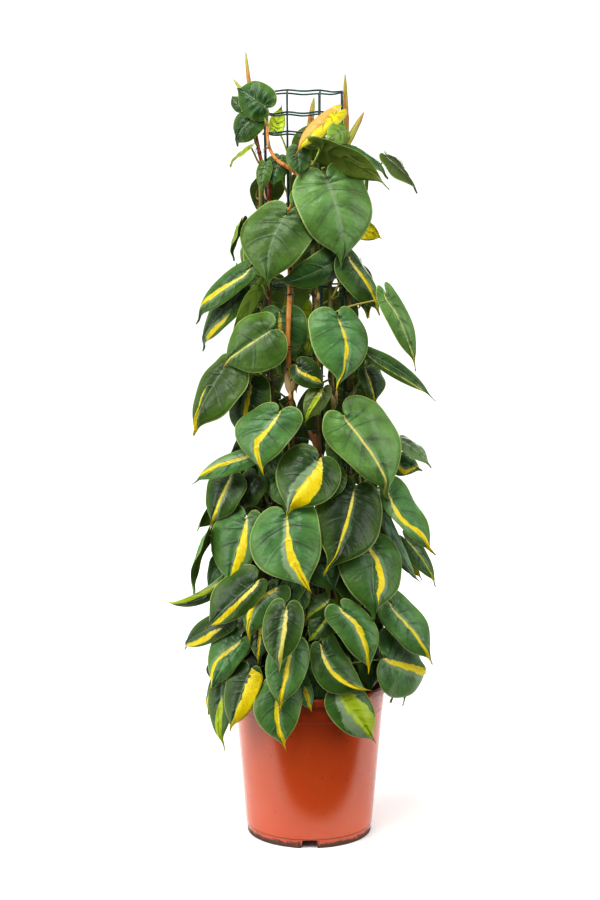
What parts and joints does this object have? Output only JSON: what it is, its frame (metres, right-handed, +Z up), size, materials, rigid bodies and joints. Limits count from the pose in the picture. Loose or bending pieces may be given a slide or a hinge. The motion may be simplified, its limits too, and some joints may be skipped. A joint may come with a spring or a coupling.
{
  "type": "potted brasil philodendron",
  "caption": "Variegated heart-leaved philodendron vines tied to a round garden-netting column, standing in a terracotta-coloured plastic nursery pot of soil.",
  "frame": {"origin": "centre of the pot's base, on the surface that it stands on", "axes": "+Z up along the pot's axis and the netting column, -Y towards the side that the picture shows, +X to its right"},
  "size_m": [0.4111, 0.32, 1.175],
  "materials": {
    "pot": "satin moulded polypropylene, scuffed and soiled at the foot",
    "soil": "moist peat and bark crumbs",
    "netting": "green plastic-coated wire, semi-gloss",
    "tie": "plastic-coated tying wire",
    "foliage": "glossy quilted leaf, green with yellow and lime streaks"
  },
  "bodies": {
    "root": {"pot": "pot", "soil": "soil", "netting_column": "netting", "tie_1": "tie", "tie_2": "tie", "tie_3": "tie", "tie_4": "tie", "tie_5": "tie", "vine_1": "foliage", "vine_2": "foliage", "vine_3": "foliage", "vine_4": "foliage", "vine_5": "foliage", "vine_6": "foliage", "vine_7": "foliage", "vine_8": "foliage", "vine_9": "foliage"}
  },
  "joints": []
}
